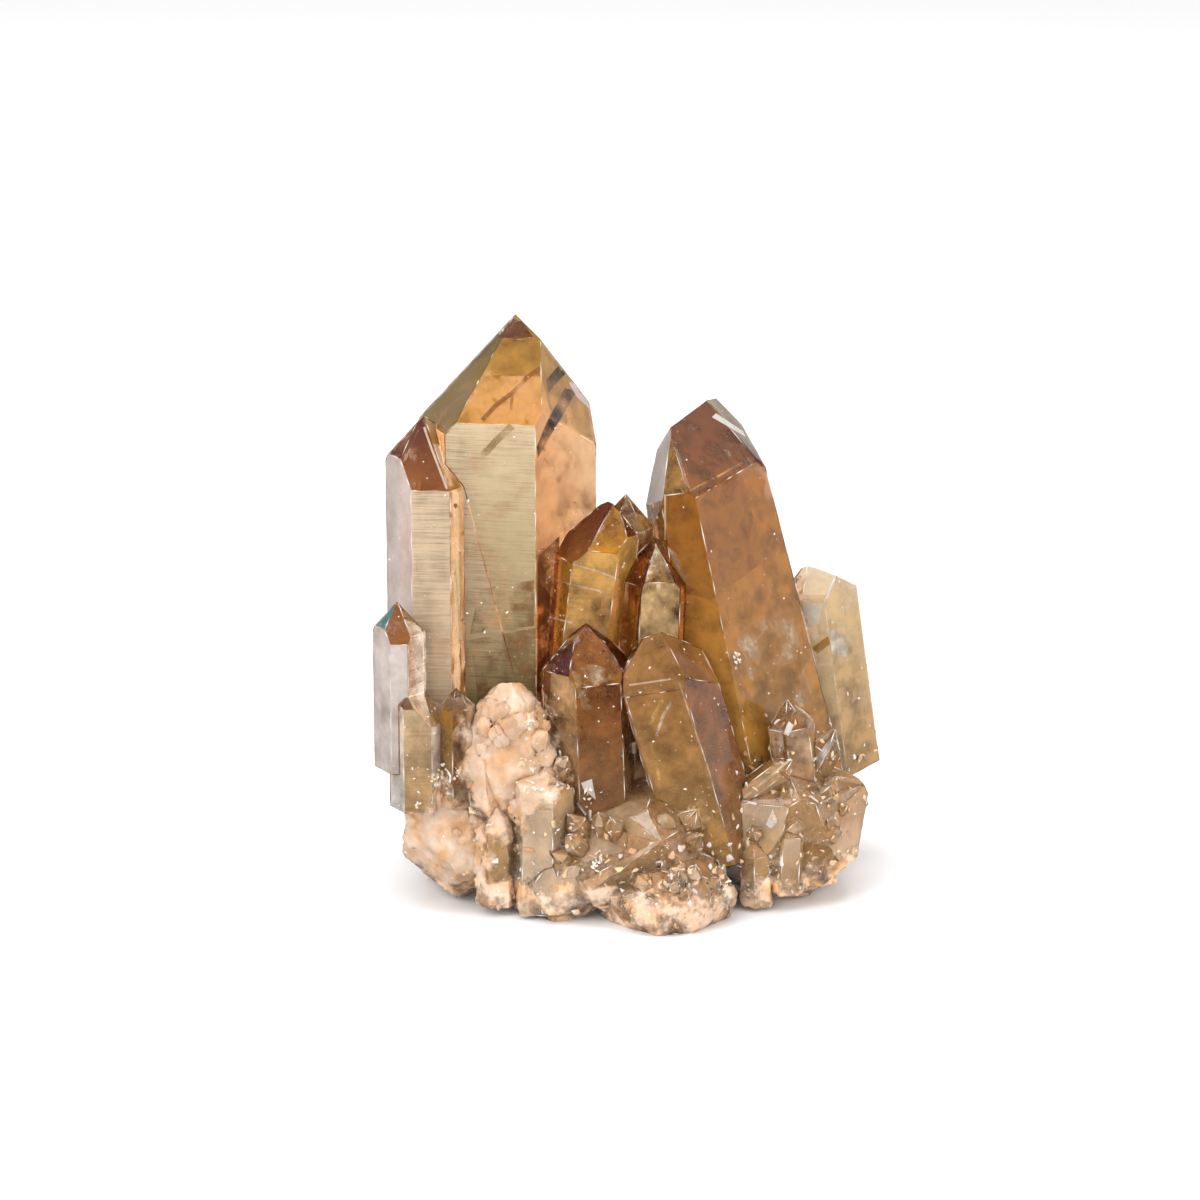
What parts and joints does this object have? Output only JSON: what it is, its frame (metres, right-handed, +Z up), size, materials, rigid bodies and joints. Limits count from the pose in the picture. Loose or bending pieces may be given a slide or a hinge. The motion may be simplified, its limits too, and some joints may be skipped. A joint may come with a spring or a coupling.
{
  "type": "citrine specimen",
  "caption": "Hand-sized group of clear smoky-orange quartz points, tall and short, grown together on a lumpy sugary root with a flat underside.",
  "frame": {"origin": "middle of the footprint box, on the surface the specimen stands on", "axes": "+Z up along the tall points, -Y the side with the clear front faces, +X to the viewer's right"},
  "size_m": [0.0512, 0.0382, 0.0579],
  "materials": {
    "citrine": "natural crystal faces, glossy and finely ridged, over a rough milky root"
  },
  "bodies": {
    "root": {"citrine_cluster": "citrine"}
  },
  "joints": []
}
